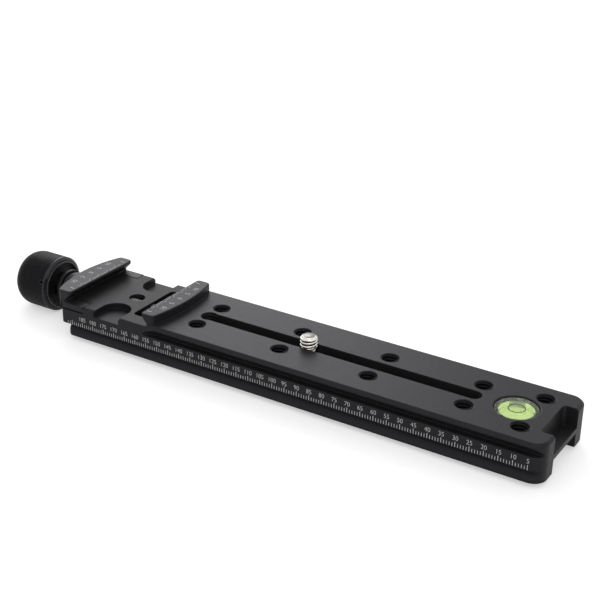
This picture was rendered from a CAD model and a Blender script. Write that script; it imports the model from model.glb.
import math

import bpy
from mathutils import Matrix, Vector


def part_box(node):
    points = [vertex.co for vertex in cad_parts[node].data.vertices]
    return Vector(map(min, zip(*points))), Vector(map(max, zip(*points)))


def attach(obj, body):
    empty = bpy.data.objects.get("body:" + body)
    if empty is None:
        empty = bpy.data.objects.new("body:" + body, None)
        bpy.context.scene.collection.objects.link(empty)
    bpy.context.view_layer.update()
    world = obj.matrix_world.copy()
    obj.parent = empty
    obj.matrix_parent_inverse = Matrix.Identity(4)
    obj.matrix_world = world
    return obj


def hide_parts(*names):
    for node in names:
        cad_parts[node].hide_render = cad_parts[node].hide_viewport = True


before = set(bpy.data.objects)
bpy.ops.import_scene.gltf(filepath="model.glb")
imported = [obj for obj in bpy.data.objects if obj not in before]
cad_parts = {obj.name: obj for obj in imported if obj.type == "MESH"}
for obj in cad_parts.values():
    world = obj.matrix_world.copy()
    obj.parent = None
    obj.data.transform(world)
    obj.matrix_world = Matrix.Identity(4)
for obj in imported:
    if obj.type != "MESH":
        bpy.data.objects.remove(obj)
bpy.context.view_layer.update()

MM = 0.001
QUARTER = math.pi / 2

# Places taken from the rail's own drawing, in millimetres
X_END = 96.35
X_KEYHOLE = -43.4
X_END_PAIR = 84.55
HOLE_STEP = 107.0 / 3
HOLE_ROW = 7.85
END_ROW = 10.75
X_FIXED_LIP = -61.55
X_MOVING_LIP = -94.25
X_KNOB_END = -132.6
X_SCREW_END = -126.65
X_GRUB = -116.75
Z_SCREW = 9.0
Z_DECK = 14.2
Z_JAW = 17.75
Z_FLOOR = -1.95
Z_FIGURES = 7.85
HALF_W = 19.0
STUD_X = -0.5
STUD_TOP = 18.2
STUD_R = 3.175
PITCH = 1.27


# Camera
def aim_camera():
    """The photograph's camera, as solved on the rail's scale and straight edges."""
    half_pixel = 0.5 / 600
    data = bpy.data.cameras.new("photo camera")
    data.sensor_width = 36
    data.lens = 78.33
    data.clip_start = 0.01
    data.shift_x = -half_pixel
    data.shift_y = half_pixel
    camera = bpy.data.objects.new("photo camera", data)
    bpy.context.scene.collection.objects.link(camera)
    right = Vector((0.8492, 0.5277, 0.0180)).normalized()
    back = Vector((0.4717, -0.7737, 0.4229)).normalized()
    up = back.cross(right).normalized()
    right = up.cross(back)
    turn = Matrix((right, up, back)).transposed().to_4x4()
    camera.matrix_world = Matrix.Translation(Vector((210.95, -353.0, 223.7)) * MM) @ turn
    bpy.context.scene.camera = camera


# Materials
def bare(name):
    material = bpy.data.materials.new(name)
    material.use_nodes = True
    nodes = material.node_tree.nodes
    shader = nodes["Principled BSDF"]
    place = nodes.new("ShaderNodeTexCoord")
    return material, nodes, material.node_tree.links, shader, place


def clouds(nodes, links, place, scale, detail=3.0, stretch=None):
    noise = nodes.new("ShaderNodeTexNoise")
    noise.inputs["Scale"].default_value = scale
    noise.inputs["Detail"].default_value = detail
    source = place.outputs["Object"]
    if stretch:
        mapping = nodes.new("ShaderNodeMapping")
        mapping.inputs["Scale"].default_value = stretch
        links.new(source, mapping.inputs["Vector"])
        source = mapping.outputs["Vector"]
    links.new(source, noise.inputs["Vector"])
    return noise.outputs["Fac"]


def ramp(nodes, links, fac, low, high, start=0.3, end=0.7):
    band = nodes.new("ShaderNodeValToRGB")
    band.color_ramp.elements[0].position = start
    band.color_ramp.elements[1].position = end
    band.color_ramp.elements[0].color = (*low, 1)
    band.color_ramp.elements[1].color = (*high, 1)
    links.new(fac, band.inputs["Fac"])
    return band.outputs["Color"]


def rough_range(nodes, links, fac, low, high):
    span = nodes.new("ShaderNodeMapRange")
    span.inputs["From Min"].default_value = 0.3
    span.inputs["From Max"].default_value = 0.7
    span.inputs["To Min"].default_value = low
    span.inputs["To Max"].default_value = high
    links.new(fac, span.inputs["Value"])
    return span.outputs["Result"]


def grain(nodes, links, shader, fac, depth, strength=1.0):
    bump = nodes.new("ShaderNodeBump")
    bump.inputs["Distance"].default_value = depth * MM
    bump.inputs["Strength"].default_value = strength
    links.new(fac, bump.inputs["Height"])
    links.new(bump.outputs["Normal"], shader.inputs["Normal"])


def anodised(name, colour, rough=0.42, ior=1.3, spread=0.09, depth=0.005):
    """Blasted and anodised aluminium: a fine satin grain, with the dye a little uneven."""
    material, nodes, links, shader, place = bare(name)
    dye = clouds(nodes, links, place, 90.0)
    low = [c * (1 - spread) for c in colour]
    high = [c * (1 + spread) for c in colour]
    links.new(ramp(nodes, links, dye, low, high), shader.inputs["Base Color"])
    satin = clouds(nodes, links, place, 900.0, 4.0)
    links.new(rough_range(nodes, links, satin, rough - 0.025, rough + 0.03), shader.inputs["Roughness"])
    grain(nodes, links, shader, clouds(nodes, links, place, 5200.0, 2.0), depth, 0.6)
    shader.inputs["IOR"].default_value = ior
    shader.inputs["Specular Tint"].default_value = (0.90, 0.87, 1.0, 1)
    return material


def machined(name, colour, rough=0.3, stretch=(1.0, 1.0, 1.0), depth=0.004, scale=2600.0):
    """Bare metal with the fine lines of the tool that cut it."""
    material, nodes, links, shader, place = bare(name)
    tone = clouds(nodes, links, place, 160.0)
    low = [c * 0.88 for c in colour]
    links.new(ramp(nodes, links, tone, low, colour), shader.inputs["Base Color"])
    shader.inputs["Metallic"].default_value = 1.0
    lines = clouds(nodes, links, place, scale, 2.0, stretch)
    links.new(rough_range(nodes, links, lines, rough - 0.06, rough + 0.08), shader.inputs["Roughness"])
    grain(nodes, links, shader, lines, depth, 0.5)
    return material


def moulded(name, colour, rough=0.5):
    """Moulded nylon, slightly mottled."""
    material, nodes, links, shader, place = bare(name)
    tone = clouds(nodes, links, place, 240.0)
    low = [c * 0.8 for c in colour]
    links.new(ramp(nodes, links, tone, low, colour), shader.inputs["Base Color"])
    links.new(rough_range(nodes, links, tone, rough - 0.05, rough + 0.1), shader.inputs["Roughness"])
    grain(nodes, links, shader, clouds(nodes, links, place, 3000.0), 0.006, 0.5)
    return material


def glowing(name, colour, strength):
    """Fluorescent plastic, which gives back more light than it is lit by."""
    material = moulded(name, colour, 0.55)
    shader = material.node_tree.nodes["Principled BSDF"]
    shader.inputs["Emission Color"].default_value = (*colour, 1)
    shader.inputs["Emission Strength"].default_value = strength
    return material


def marking(name, colour):
    """Laser marking: a matt line whose edge breaks up a little in the grain of the metal."""
    material, nodes, links, shader, place = bare(name)
    tone = clouds(nodes, links, place, 2600.0, 2.0)
    low = [c * 0.72 for c in colour]
    links.new(ramp(nodes, links, tone, low, colour, 0.35, 0.6), shader.inputs["Base Color"])
    shader.inputs["Roughness"].default_value = 0.65
    grain(nodes, links, shader, clouds(nodes, links, place, 5200.0, 2.0), 0.004, 0.5)
    return material


def streaked(name, low, high):
    """Milled plastic wall behind clear plastic: dark, with pale streaks where it catches the light."""
    material, nodes, links, shader, place = bare(name)
    tone = clouds(nodes, links, place, 420.0, 3.0)
    links.new(ramp(nodes, links, tone, low, high, 0.45, 0.6), shader.inputs["Base Color"])
    shader.inputs["Roughness"].default_value = 0.3
    grain(nodes, links, shader, clouds(nodes, links, place, 2200.0, 2.0), 0.006, 0.6)
    return material


def clear(name, colour, rough, ior, low=0.92):
    """Clear plastic or liquid, faintly clouded."""
    material, nodes, links, shader, place = bare(name)
    tone = clouds(nodes, links, place, 300.0)
    dim = [c * low for c in colour]
    links.new(ramp(nodes, links, tone, dim, colour), shader.inputs["Base Color"])
    shader.inputs["Roughness"].default_value = rough
    shader.inputs["IOR"].default_value = ior
    shader.inputs["Transmission Weight"].default_value = 1.0
    return material


rail_black = anodised("black anodised rail", (0.0125, 0.0124, 0.0134), ior=1.28)
recess_black = anodised("black anodised clamp recess", (0.0118, 0.0117, 0.0126), ior=1.215)
jaw_black = anodised("black anodised jaw", (0.0135, 0.0134, 0.0142), ior=1.3)
knob_black = anodised("black anodised knob", (0.0096, 0.0094, 0.010), rough=0.4, ior=1.235)
thread_black = anodised("anodised threads", (0.008, 0.008, 0.0085), rough=0.36, ior=1.22)
band_black = anodised("turned knob band", (0.013, 0.0128, 0.0135), rough=0.24, ior=1.42, depth=0.002)
ring_black = anodised("bright knob ring", (0.055, 0.054, 0.056), rough=0.28, ior=1.6, depth=0.002)
bright_metal = machined("bright camera screw", (0.80, 0.765, 0.71), 0.22, (1.0, 1.0, 6.0))
faced_metal = machined("faced end of the screw", (0.25, 0.245, 0.235), 0.3)
groove_metal = machined("oiled thread grooves", (0.035, 0.029, 0.024), 0.45, (1.0, 1.0, 6.0))
pin_metal = machined("ground pin steel", (0.66, 0.66, 0.67), 0.2, (6.0, 1.0, 1.0))
handle_metal = machined("handle wire", (0.55, 0.54, 0.52), 0.26)
screw_metal = machined("rolled screw steel", (0.16, 0.16, 0.165), 0.34, (4.0, 1.0, 1.0))
washer_metal = machined("washer steel", (0.024, 0.0235, 0.0235), 0.42, (4.0, 1.0, 1.0))
oxide_metal = machined("black oxide steel", (0.026, 0.026, 0.028), 0.44)
spring_metal = machined("spring wire", (0.55, 0.55, 0.57), 0.25)
hub_metal = machined("hub steel", (0.055, 0.054, 0.055), 0.36, (4.0, 1.0, 1.0))
nylon = moulded("black nylon", (0.022, 0.022, 0.023))
white_mark = marking("white laser marking", (0.60, 0.60, 0.60))
jaw_mark = marking("pale jaw marking", (0.66, 0.66, 0.70))
acrylic = clear("clear acrylic", (0.985, 0.992, 0.975), 0.0, 1.3, 0.985)
level_wall = streaked("milled level wall", (0.30, 0.36, 0.25), (0.80, 0.86, 0.70))
spirit = clear("tinted spirit", (0.985, 1.0, 0.93), 0.0, 1.27, 0.985)
air = clear("bubble of air", (0.97, 1.0, 0.90), 0.0, 1.04, 0.93)
backing = glowing("fluorescent backing", (0.62, 0.86, 0.22), 0.42)
ring_ink = marking("dark ring ink", (0.012, 0.035, 0.008))


# Helpers
def clear_selection():
    if bpy.context.object and bpy.context.object.mode != "OBJECT":
        bpy.ops.object.mode_set(mode="OBJECT")
    bpy.ops.object.select_all(action="DESELECT")


def take(piece):
    clear_selection()
    piece.select_set(True)
    bpy.context.view_layer.objects.active = piece


def edit(piece):
    take(piece)
    bpy.ops.object.mode_set(mode="EDIT")
    bpy.ops.mesh.select_mode(type="VERT")


def leave():
    bpy.ops.object.mode_set(mode="OBJECT")


def close_up(piece, reach=0.0005):
    """Merges the seam and the poles, and turns every face outwards."""
    edit(piece)
    bpy.ops.mesh.select_all(action="SELECT")
    bpy.ops.mesh.remove_doubles(threshold=reach * MM)
    bpy.ops.mesh.normals_make_consistent(inside=False)
    leave()


def soften(piece, angle=30):
    take(piece)
    bpy.ops.object.shade_smooth_by_angle(angle=math.radians(angle))


def put(piece, x, y, z, turn=(0, 0, 0)):
    """Moves a piece to its place in the rail's frame and leaves the place in its mesh."""
    take(piece)
    piece.location = Vector((x, y, z)) * MM
    piece.rotation_euler = turn
    bpy.ops.object.transform_apply(location=True, rotation=True, scale=True)


def fit(piece, body, finish, slot=None, *nodes):
    piece.data.materials.clear()
    piece.data.materials.append(finish)
    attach(piece, body)
    if nodes:
        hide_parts(*nodes)
    return piece


def join(pieces, name):
    clear_selection()
    for piece in pieces:
        piece.select_set(True)
    bpy.context.view_layer.objects.active = pieces[0]
    bpy.ops.object.join()
    pieces[0].name = name
    pieces[0].data.name = name
    return pieces[0]


def draw_outline(name, points, closed):
    """One point pulled from corner to corner of an outline: radius along X, height along Z."""
    clear_selection()
    r, h = points[0]
    bpy.ops.mesh.primitive_plane_add(size=MM, location=(0, 0, 0))
    piece = bpy.context.object
    piece.name = name
    piece.data.name = name
    edit(piece)
    bpy.ops.mesh.select_all(action="SELECT")
    bpy.ops.mesh.merge(type="CENTER")
    bpy.ops.transform.translate(value=(r * MM, 0, h * MM))
    for (r0, h0), (r1, h1) in zip(points, points[1:]):
        step = ((r1 - r0) * MM, 0, (h1 - h0) * MM)
        bpy.ops.mesh.extrude_region_move(TRANSFORM_OT_translate={"value": step})
    if closed:
        bpy.ops.mesh.select_all(action="DESELECT")
        leave()
        joined = [i for edge in piece.data.edges for i in edge.vertices]
        for vertex in piece.data.vertices:
            vertex.select = joined.count(vertex.index) == 1
        edit(piece)
        bpy.ops.mesh.edge_face_add()
    leave()
    return piece


def turned(name, points, closed=False, steps=96):
    """Lathe work about Z: the outline is spun once round and its seam is merged."""
    piece = draw_outline(name, points, closed)
    edit(piece)
    bpy.ops.mesh.select_all(action="SELECT")
    bpy.ops.mesh.spin(steps=steps, angle=2 * math.pi, center=(0, 0, 0), axis=(0, 0, 1))
    leave()
    close_up(piece)
    return piece


def thread_ridge(name, root, crest, pitch, turns, steps=40):
    """One round-crested ridge of a rolled thread, wound upwards from z = 0."""
    bends = [math.radians(a) for a in range(-90, 91, 30)]
    points = [(root + (crest - root) * math.cos(a), pitch * 0.4 * math.sin(a)) for a in bends]
    piece = draw_outline(name, points, True)
    take(piece)
    bpy.ops.object.modifier_add(type="SCREW")
    screw = piece.modifiers[-1]
    screw.axis = "Z"
    screw.angle = 2 * math.pi
    screw.screw_offset = pitch * MM
    screw.iterations = turns
    screw.steps = steps
    screw.render_steps = steps
    screw.use_merge_vertices = True
    screw.merge_threshold = 0.0002 * MM
    bpy.ops.object.modifier_apply(modifier=screw.name)
    edit(piece)
    bpy.ops.mesh.select_all(action="SELECT")
    bpy.ops.mesh.fill_holes(sides=0)
    leave()
    close_up(piece)
    return piece


def copy_of(piece, name):
    twin = piece.copy()
    twin.data = piece.data.copy()
    twin.name = name
    twin.data.name = name
    bpy.context.scene.collection.objects.link(twin)
    return twin


def round_edges(piece, low, high, width, segments, angle=30):
    """Rolls over the sharp edges that lie wholly between two corners of a box."""
    edit(piece)
    bpy.ops.mesh.select_mode(type="EDGE")
    bpy.ops.mesh.select_all(action="DESELECT")
    bpy.ops.mesh.edges_select_sharp(sharpness=math.radians(angle))
    leave()
    places = [vertex.co / MM for vertex in piece.data.vertices]
    inside = [all(a <= c <= b for a, c, b in zip(low, place, high)) for place in places]
    for face in piece.data.polygons:
        face.select = False
    for vertex in piece.data.vertices:
        vertex.select = False
    for edge in piece.data.edges:
        edge.select = edge.select and all(inside[i] for i in edge.vertices)
    take(piece)
    bpy.ops.object.mode_set(mode="EDIT")
    bpy.ops.mesh.bevel(offset=width * MM, segments=segments, affect="EDGES", clamp_overlap=False)
    leave()


def dressed(node, name, width, body, finish, slot, segments=2, angle=30,
            cuts=(0.0,), crosses=(), rounds=None):
    """A merged copy of a machined part, with its sharp edges broken.

    A flat face with holes in it is first scored along and across the holes, so that it stays in plain pieces.
    """
    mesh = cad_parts[node].data.copy()
    mesh.materials.clear()
    piece = bpy.data.objects.new(name, mesh)
    mesh.name = name
    bpy.context.scene.collection.objects.link(piece)
    edit(piece)
    bpy.ops.mesh.select_all(action="SELECT")
    bpy.ops.mesh.remove_doubles(threshold=0.0005 * MM)
    scores = [((0, y * MM, 0), (0, 1, 0)) for y in cuts] + [((x * MM, 0, 0), (1, 0, 0)) for x in crosses]
    for place, facing in scores:
        bpy.ops.mesh.select_all(action="SELECT")
        bpy.ops.mesh.bisect(plane_co=place, plane_no=facing)
        bpy.ops.mesh.mark_seam()
    bpy.ops.mesh.select_all(action="SELECT")
    bpy.ops.mesh.dissolve_limited(angle_limit=math.radians(0.4), delimit={"SEAM"})
    leave()
    if rounds:
        round_edges(piece, *rounds)
    take(piece)
    bpy.ops.mesh.customdata_custom_splitnormals_clear()
    bpy.ops.object.shade_smooth_by_angle(angle=math.radians(angle))
    if width:
        bpy.ops.object.modifier_add(type="BEVEL")
        edge = piece.modifiers[-1]
        edge.width = width * MM
        edge.segments = segments
        edge.limit_method = "ANGLE"
        edge.angle_limit = math.radians(angle)
        edge.use_clamp_overlap = False
        edge.harden_normals = False
        bpy.ops.object.modifier_apply(modifier=edge.name)
        bpy.ops.object.shade_smooth_by_angle(angle=math.radians(angle))
        bpy.ops.object.modifier_add(type="WEIGHTED_NORMAL")
        weigh = piece.modifiers[-1]
        weigh.keep_sharp = True
        weigh.weight = 100
        bpy.ops.object.modifier_apply(modifier=weigh.name)
    if body:
        fit(piece, body, finish, slot, node)
    return piece


# Rail and its scale
def make_rail():
    rail = dressed("rail_body", "rail_anodised", 0.16, "rail", rail_black, "anodised_rail",
                   cuts=(0.0, -HOLE_ROW, HOLE_ROW, -END_ROW, END_ROW),
                   crosses=[X_KEYHOLE + i * HOLE_STEP / 2 for i in range(7)] + [X_END_PAIR],
                   rounds=((X_FIXED_LIP - 0.5, -19.5, Z_DECK + 0.3), (-52.0, 19.5, Z_JAW + 0.5), 0.45, 3))
    rail.data.materials.append(recess_black)
    above_channel, below_deck = 5.0, Z_DECK - 0.3
    for face in rail.data.polygons:
        x, z = face.center.x / MM, face.center.z / MM
        if face.normal.z > 0.9 and x < X_FIXED_LIP + 6.0 and above_channel < z < below_deck:
            face.material_index = 1


def strokes(name, first, length, width, runs, along, up, out):
    """Marks of one length: a plane is laid down once and stepped along the scale."""
    clear_selection()
    bpy.ops.mesh.primitive_plane_add(size=1.0, location=(0, 0, 0))
    piece = bpy.context.object
    piece.name = name
    piece.data.name = name
    a, u, o = Vector(along), Vector(up), Vector(out)
    turn = Matrix((a, u, o)).transposed().to_4x4()
    size = Matrix.Diagonal((width * MM, length * MM, 1.0, 1.0))
    piece.data.transform(Matrix.Translation(Vector(first) * MM) @ turn @ size)
    edit(piece)
    bpy.ops.mesh.select_all(action="SELECT")
    for count, step in runs:
        for _ in range(count - 1):
            bpy.ops.mesh.duplicate_move(TRANSFORM_OT_translate={"value": a * step * MM})
        bpy.ops.mesh.select_all(action="SELECT")
    bpy.ops.mesh.extrude_region_move(TRANSFORM_OT_translate={"value": o * 0.06 * MM})
    leave()
    close_up(piece)
    return piece


def numerals(name, labels, height, turn, lift, squeeze=0.92, thin=-0.02):
    """Plain numerals, each made a mesh and then stood in its place."""
    pieces = []
    for text, place in labels:
        clear_selection()
        bpy.ops.object.text_add(location=(0, 0, 0))
        piece = bpy.context.object
        piece.data.body = text
        piece.data.size = height / 0.72 * MM
        piece.data.extrude = lift * MM
        piece.data.offset = thin * MM
        piece.data.align_x = "CENTER"
        piece.data.align_y = "CENTER"
        piece.data.resolution_u = 4
        bpy.ops.object.convert(target="MESH")
        piece = bpy.context.object
        piece.scale = (squeeze, 1, 1)
        bpy.ops.object.transform_apply(location=False, rotation=False, scale=True)
        put(piece, *place, turn)
        pieces.append(piece)
    piece = join(pieces, name)
    close_up(piece, 0.0002)
    return piece


def make_scale():
    """The front scale: a tick each millimetre, a longer one and a figure each five."""
    face = -HALF_W + 0.03
    left, upward, forward = (-1, 0, 0), (0, 0, 1), (0, -1, 0)
    minor, major = (1.3, 0.19), (1.86, 0.22)
    minor_z, major_z = 4.72 + 0.65, 4.7 + 0.93
    ways = (left, upward, forward)
    minors = strokes("scale_minor", (X_END - 6, face, minor_z), *minor, [(4, 1.0)], *ways)
    groups = [minors]
    for i in range(1, 37):
        twin = copy_of(minors, "scale_minor")
        twin.data.transform(Matrix.Translation(Vector((-5.0 * i, 0, 0)) * MM))
        groups.append(twin)
    majors = strokes("scale_major", (X_END - 5, face, major_z), *major, [(38, 5.0)], *ways)
    last = strokes("scale_last", (X_END - 191, face, minor_z), *minor, [(2, 1.0)], *ways)
    ticks = join(groups + [majors, last], "scale_ticks")
    fit(ticks, "rail", white_mark)
    labels = [(str(s), (X_END - s, -HALF_W, Z_FIGURES)) for s in range(5, 190, 5)]
    figures = numerals("scale_numbers", labels, 1.72, (QUARTER, 0, 0), 0.03, 0.94, -0.028)
    fit(figures, "rail", white_mark)


def make_jaw_marks(name, lip, away, body, row):
    """Marks along a jaw's lip: short strokes each millimetre, long ones each five."""
    top = Z_JAW - 0.03
    across, inward, up = (0, 1, 0), (away, 0, 0), (0, 0, 1)
    if away > 0:
        across = (0, -1, 0)
    side = across[1]
    marks = []
    for part, reach, first, length, width, run in (
            ("_short", 0.95, -12, 0.9, 0.2, (25, 1.0)),
            ("_long", 1.3, -10, 1.6, 0.26, (5, 5.0)),
            ("_ends", 1.9, -15, 1.9, 0.28, (2, 30.0))):
        place = (lip + away * reach, first * side, top)
        marks.append(strokes(name + part, place, length, width, [run], across, inward, up))
    fit(join(marks, name + "_ticks"), body, jaw_mark)
    labels = [(str(abs(y)), (lip + away * row, y, Z_JAW)) for y in range(-10, 11, 5)]
    fit(numerals(name + "_numbers", labels, 2.05, (0, 0, QUARTER), 0.03), body, jaw_mark)


# Tapped holes
def make_tapped_holes():
    """Thread in the eight holes beside the slot, the two beside the level and half the keyhole."""
    first = thread_ridge("hole_thread", 3.22, 2.8, PITCH, 6)
    places = [(X_KEYHOLE + i * HOLE_STEP, s * HOLE_ROW) for i in range(4) for s in (-1, 1)]
    places += [(X_END_PAIR, s * END_ROW) for s in (-1, 1)]
    for i, (x, y) in enumerate(places):
        piece = copy_of(first, "hole_thread_%02d" % (i + 1))
        put(piece, x, y, 6.35)
        soften(piece)
        fit(piece, "rail", thread_black, "anodised_rail")
    key = copy_of(first, "keyhole_thread")
    bpy.data.objects.remove(first)
    put(key, X_KEYHOLE, 0, 6.1)
    edit(key)
    bpy.ops.mesh.select_all(action="DESELECT")
    leave()
    for vertex in key.data.vertices:
        vertex.select = vertex.co.x > (X_KEYHOLE + 1.62) * MM
    edit(key)
    bpy.ops.mesh.delete(type="VERT")
    bpy.ops.mesh.select_all(action="SELECT")
    bpy.ops.mesh.fill_holes(sides=0)
    leave()
    close_up(key)
    soften(key)
    fit(key, "rail", thread_black, "anodised_rail")


# Clamp, screw, knob
def make_clamp():
    dressed("movable_jaw", "movable_jaw_anodised", 0.32, "jaw", jaw_black, "anodised_jaw",
            cuts=(0.0, -8.0, 8.0))
    for node, work, width, body, finish, slot in (
            ("guide_pins", "ground", 0.2, "jaw", pin_metal, "steel"),
            ("retaining_clip", "pressed", 0.08, "knob", oxide_metal, "spring_steel"),
            ("nylon_washer", "turned", 0.12, "jaw", nylon, "nylon"),
            ("thrust_washer", "turned", 0.16, "knob", washer_metal, "washer_steel"),
            ("knob_hub", "turned", 0.14, "knob", hub_metal, "washer_steel"),
            ("knob_grub_screw", "socket", 0.06, "knob", oxide_metal, "dark_steel")):
        dressed(node, node + "_" + work, width, body, finish, slot)


def make_springs():
    """The two return springs, their wire rounded off by one subdivision."""
    for node in ("jaw_spring_front", "jaw_spring_rear"):
        piece = dressed(node, node + "_wire", 0, None, None, None, angle=80)
        take(piece)
        bpy.ops.object.modifier_add(type="SUBSURF")
        round_off = piece.modifiers[-1]
        round_off.levels = 1
        round_off.render_levels = 1
        bpy.ops.object.modifier_apply(modifier=round_off.name)
        soften(piece, 80)
        fit(piece, "rail", spring_metal, "spring_steel", node)


def make_clamp_screw():
    """Screw core with its retaining groove, the tail in the hub and a rolled thread between them."""
    core = turned("clamp_screw_core", [
        (0, 0), (2.6, 0), (2.95, 0.35), (2.95, 14.6), (2.6, 15.0), (2.6, 64.2), (2.4, 64.5),
        (2.4, 65.3), (2.6, 65.3), (2.6, 65.9), (2.2, 66.3), (0, 66.3)], steps=64)
    ridge = thread_ridge("clamp_screw_ridge", 2.55, 3.0, 1.25, 38, 32)
    put(ridge, 0, 0, 16.2)
    piece = join([core, ridge], "clamp_screw_threaded")
    put(piece, X_SCREW_END, 0, Z_SCREW, (0, QUARTER, 0))
    soften(piece)
    fit(piece, "knob", screw_metal, "screw_steel", "clamp_screw")


def make_knob():
    """Knob turned from one outline, with straight flutes pressed in round it."""
    r, shoulder, body, length = 10.9, 6.6, 17.35, 18.25
    bends = [math.radians(a) for a in range(0, 91, 9)]
    arc = [(r - shoulder + shoulder * math.sin(a), shoulder - shoulder * math.cos(a)) for a in bends]
    outline = [(0, 0), *arc, (r, 16.6), (r, 16.7), (r, body - 0.3), (r - 0.1, body - 0.1), (10.0, 17.8),
               (9.4, 17.72), (9.35, 17.76), (9.35, 18.1), (9.4, 18.2), (9.35, length), (9.0, length),
               (8.9, 18.2), (8.6, 17.2), (8.0, 16.75), (6.7, 16.7), (6.4, 16.8), (6.3, 17.2), (6.2, 17.25),
               (4.81, 17.25), (4.81, 5.95), (0, 5.95)]
    piece = turned("clamp_knob_fluted", outline, steps=360)
    edit(piece)
    bpy.ops.mesh.select_all(action="DESELECT")
    leave()
    for vertex in piece.data.vertices:
        x, y, z = vertex.co / MM
        reach = math.hypot(x, y)
        turn = round(math.degrees(math.atan2(y, x))) % 4
        vertex.select = turn == 0 and reach > 7.0 and 0.3 < z < 16.65
    edit(piece)
    bpy.ops.transform.resize(value=(0.968, 0.968, 1), center_override=(0, 0, 0))
    leave()
    put(piece, X_KNOB_END, 0, Z_SCREW, (0, QUARTER, 0))
    clear_selection()
    lean = math.radians(68)
    bpy.ops.mesh.primitive_cylinder_add(vertices=48, radius=1.25 * MM, depth=8 * MM)
    drill = bpy.context.object
    out = Vector((0, -math.sin(lean), math.cos(lean)))
    put(drill, X_GRUB, out.y * 8.8, Z_SCREW + out.z * 8.8, (lean, 0, 0))
    take(piece)
    bpy.ops.object.modifier_add(type="BOOLEAN")
    bore = piece.modifiers[-1]
    bore.object = drill
    bore.operation = "DIFFERENCE"
    bore.solver = "EXACT"
    bpy.ops.object.modifier_apply(modifier=bore.name)
    bpy.data.objects.remove(drill)
    soften(piece, 24)
    fit(piece, "knob", knob_black, "anodised_knob", "clamp_knob")
    piece.data.materials.append(band_black)
    piece.data.materials.append(ring_black)
    for face in piece.data.polygons:
        along = face.center.x / MM - X_KNOB_END
        reach = math.hypot(face.center.y, face.center.z - Z_SCREW * MM) / MM
        if along > 16.7 and reach > 8.92:
            face.material_index = 2 if reach < 9.42 and along > 17.77 else 1
    return piece


# Bubble level
def make_level():
    """The bubble level: a clear cup over a fluorescent disc, with the liquid and bubble inside."""
    body = dressed("level_body", "level_body_clear", 0.2, "rail", acrylic, "clear_acrylic", segments=3)
    body.data.materials.append(level_wall)
    for face in body.data.polygons:
        if abs(face.normal.z) < 0.3 and face.center.z < (Z_DECK - 0.7) * MM:
            face.material_index = 1
    dressed("level_base", "level_backing_disc", 0.1, "rail", backing, "level_backing")
    low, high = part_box("level_fluid")
    wide, tall = (high[0] - low[0]) / 2 / MM, (high[2] - low[2]) / MM
    spirit_piece = turned("level_spirit", [
        (0, 0), (wide - 0.2, 0), (wide - 0.06, 0.06), (wide, 0.2), (wide, tall - 0.3),
        (wide - 0.09, tall - 0.09), (wide - 0.3, tall), (0, tall)], steps=96)
    put(spirit_piece, (low[0] + high[0]) / 2 / MM, 0, low[2] / MM)
    soften(spirit_piece, 15)
    fit(spirit_piece, "rail", spirit, "level_liquid", "level_fluid")
    dressed("level_bubble", "level_bubble_round", 0.3, "rail", air, "level_air", segments=4)
    dressed("level_target_ring", "level_target_ring_printed", 0, "rail", ring_ink, "ring_ink")
    return body


# Camera screw
def trim(piece, low, high):
    """Cuts a piece square at two heights and closes the cuts."""
    edit(piece)
    for height, side in ((low, -1), (high, 1)):
        bpy.ops.mesh.select_all(action="SELECT")
        bpy.ops.mesh.bisect(
            plane_co=(0, 0, height * MM), plane_no=(0, 0, side),
            use_fill=True, threshold=0.001 * MM, clear_outer=True)
    leave()


def wound(name, root, crest, turns, start, low, high):
    """A length of the camera thread, cut square between two heights above the deck."""
    ridge = thread_ridge(name, root, crest, PITCH, turns, 64)
    put(ridge, 0, 0, start)
    trim(ridge, low, high)
    return ridge


def make_camera_screw():
    """Captive screw: a head under the rail, a relieved neck in the slot and a thread above the deck."""
    lower = dressed("camera_screw", "camera_screw_lower", 0.18, None, None, None)
    trim(lower, -100, 10.5)
    core = turned("camera_screw_core", [
        (0, -3.75), (2.3, -3.75), (2.3, -0.15), (2.5, 0), (2.6, 0.1), (2.6, 3.62),
        (2.28, 3.94), (2.2, 4.0), (0, 4.0)], steps=64)
    shank = wound("camera_screw_shank", 2.3, 2.64, 3, -0.35 - 3 * PITCH, -3.68, -0.03)
    ridge = wound("camera_screw_ridge", 2.5, STUD_R, 4, -0.35, 0.02, 3.7)
    for vertex in ridge.data.vertices:
        reach = math.hypot(vertex.co.x, vertex.co.y)
        limit = STUD_R * MM - 1.1 * max(0.0, vertex.co.z - 3.16 * MM)
        if reach > limit > 0:
            vertex.co.x *= limit / reach
            vertex.co.y *= limit / reach
    upper = join([core, shank, ridge], "camera_screw_upper")
    put(upper, STUD_X, 0, Z_DECK)
    soften(upper, 50)
    piece = join([lower, upper], "camera_screw_threaded")
    fit(piece, "stud", bright_metal, "bright_steel", "camera_screw")
    piece.data.materials.append(groove_metal)
    piece.data.materials.append(faced_metal)
    for face in piece.data.polygons:
        reach = math.hypot(face.center.x - STUD_X * MM, face.center.y)
        in_groove = 2.3 * MM < reach < 2.78 * MM or (reach < 3.0 * MM and face.normal.z < -0.3)
        if face.center.z > (STUD_TOP - 0.86) * MM:
            in_groove = face.normal.z < 0.2
        if in_groove and Z_DECK * MM < face.center.z < (STUD_TOP - 0.02) * MM:
            face.material_index = 1
        if face.center.z > (STUD_TOP - 0.03) * MM and face.normal.z > 0.9:
            face.material_index = 2
    dressed("slide_washer", "slide_washer_turned", 0.1, "slider", nylon, "nylon")
    dressed("folding_handle", "folding_handle_wire", 0, "handle", handle_metal, "bright_steel", angle=50)


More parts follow.
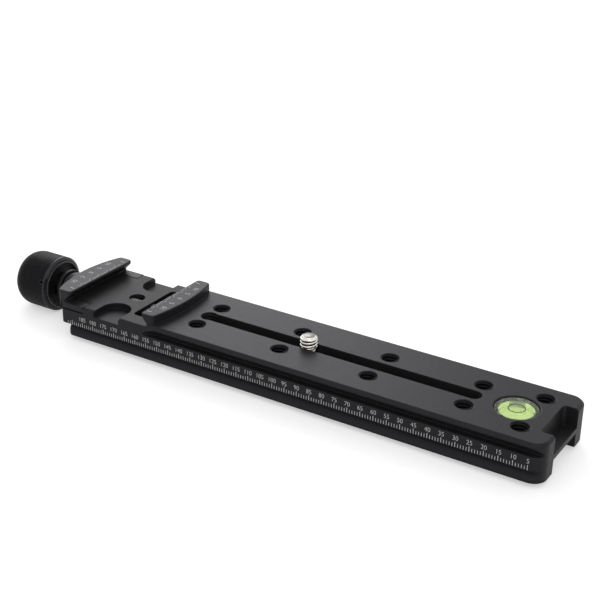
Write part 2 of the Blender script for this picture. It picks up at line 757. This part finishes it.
# Studio
def soft_lamp(name, place, aim, size, power):
    data = bpy.data.lights.new(name, "AREA")
    data.shape = "SQUARE"
    data.size = size
    data.energy = power
    lamp = bpy.data.objects.new(name, data)
    bpy.context.scene.collection.objects.link(lamp)
    lamp.location = place
    lamp.rotation_euler = (Vector(aim) - Vector(place)).to_track_quat("-Z", "Y").to_euler()


def seen_directly(nodes, links):
    """True for the camera, for gloss and for light through clear plastic."""
    path = nodes.new("ShaderNodeLightPath")
    both = nodes.new("ShaderNodeMath")
    both.operation = "MAXIMUM"
    every = nodes.new("ShaderNodeMath")
    every.operation = "MAXIMUM"
    links.new(path.outputs["Is Camera Ray"], both.inputs[0])
    links.new(path.outputs["Is Glossy Ray"], both.inputs[1])
    links.new(both.outputs["Value"], every.inputs[0])
    links.new(path.outputs["Is Transmission Ray"], every.inputs[1])
    return every.outputs["Value"]


def make_studio():
    """White paper, an even white surround and two soft lamps."""
    world = bpy.data.worlds.new("studio")
    bpy.context.scene.world = world
    world.use_nodes = True
    nodes, links = world.node_tree.nodes, world.node_tree.links
    nodes.clear()
    out = nodes.new("ShaderNodeOutputWorld")
    lit = nodes.new("ShaderNodeBackground")
    lit.inputs["Color"].default_value = (1, 1, 1, 1)
    lit.inputs["Strength"].default_value = 0.62
    seen = nodes.new("ShaderNodeBackground")
    seen.inputs["Color"].default_value = (1, 1, 1, 1)
    seen.inputs["Strength"].default_value = 1.0
    mix = nodes.new("ShaderNodeMixShader")
    links.new(seen_directly(nodes, links), mix.inputs["Fac"])
    links.new(lit.outputs["Background"], mix.inputs[1])
    links.new(seen.outputs["Background"], mix.inputs[2])
    links.new(mix.outputs["Shader"], out.inputs["Surface"])

    clear_selection()
    bpy.ops.mesh.primitive_plane_add(size=6.0, location=(0, 0, Z_FLOOR * MM))
    floor = bpy.context.object
    floor.name = "studio_floor"
    paper = bpy.data.materials.new("white paper floor")
    paper.use_nodes = True
    nodes, links = paper.node_tree.nodes, paper.node_tree.links
    shader = nodes["Principled BSDF"]
    shader.inputs["Base Color"].default_value = (0.86, 0.86, 0.86, 1)
    shader.inputs["Roughness"].default_value = 0.9
    shader.inputs["Specular IOR Level"].default_value = 0.1
    shader.inputs["Emission Color"].default_value = (1, 1, 1, 1)
    path = nodes.new("ShaderNodeLightPath")
    lift = nodes.new("ShaderNodeMath")
    lift.operation = "MULTIPLY"
    lift.inputs[1].default_value = 0.46
    links.new(path.outputs["Is Camera Ray"], lift.inputs[0])
    gloss = nodes.new("ShaderNodeMath")
    gloss.operation = "MULTIPLY_ADD"
    gloss.inputs[1].default_value = 0.18
    links.new(path.outputs["Is Glossy Ray"], gloss.inputs[0])
    links.new(lift.outputs["Value"], gloss.inputs[2])
    links.new(gloss.outputs["Value"], shader.inputs["Emission Strength"])
    floor.data.materials.append(paper)

    soft_lamp("rear softbox", (-0.75, 0.75, 0.62), (-0.05, 0, 0), 0.8, 4.2)
    soft_lamp("front softbox", (0.45, -0.75, 0.75), (0, 0, 0), 0.9, 2.2)

    bpy.context.scene.view_settings.view_transform = "Standard"


aim_camera()
make_studio()
make_rail()
make_scale()
make_jaw_marks("fixed_jaw", X_FIXED_LIP, 1, "rail", 4.7)
make_jaw_marks("moving_jaw", X_MOVING_LIP, -1, "jaw", 5.3)
make_tapped_holes()
make_clamp()
make_springs()
make_clamp_screw()
make_knob()
make_level()
make_camera_screw()
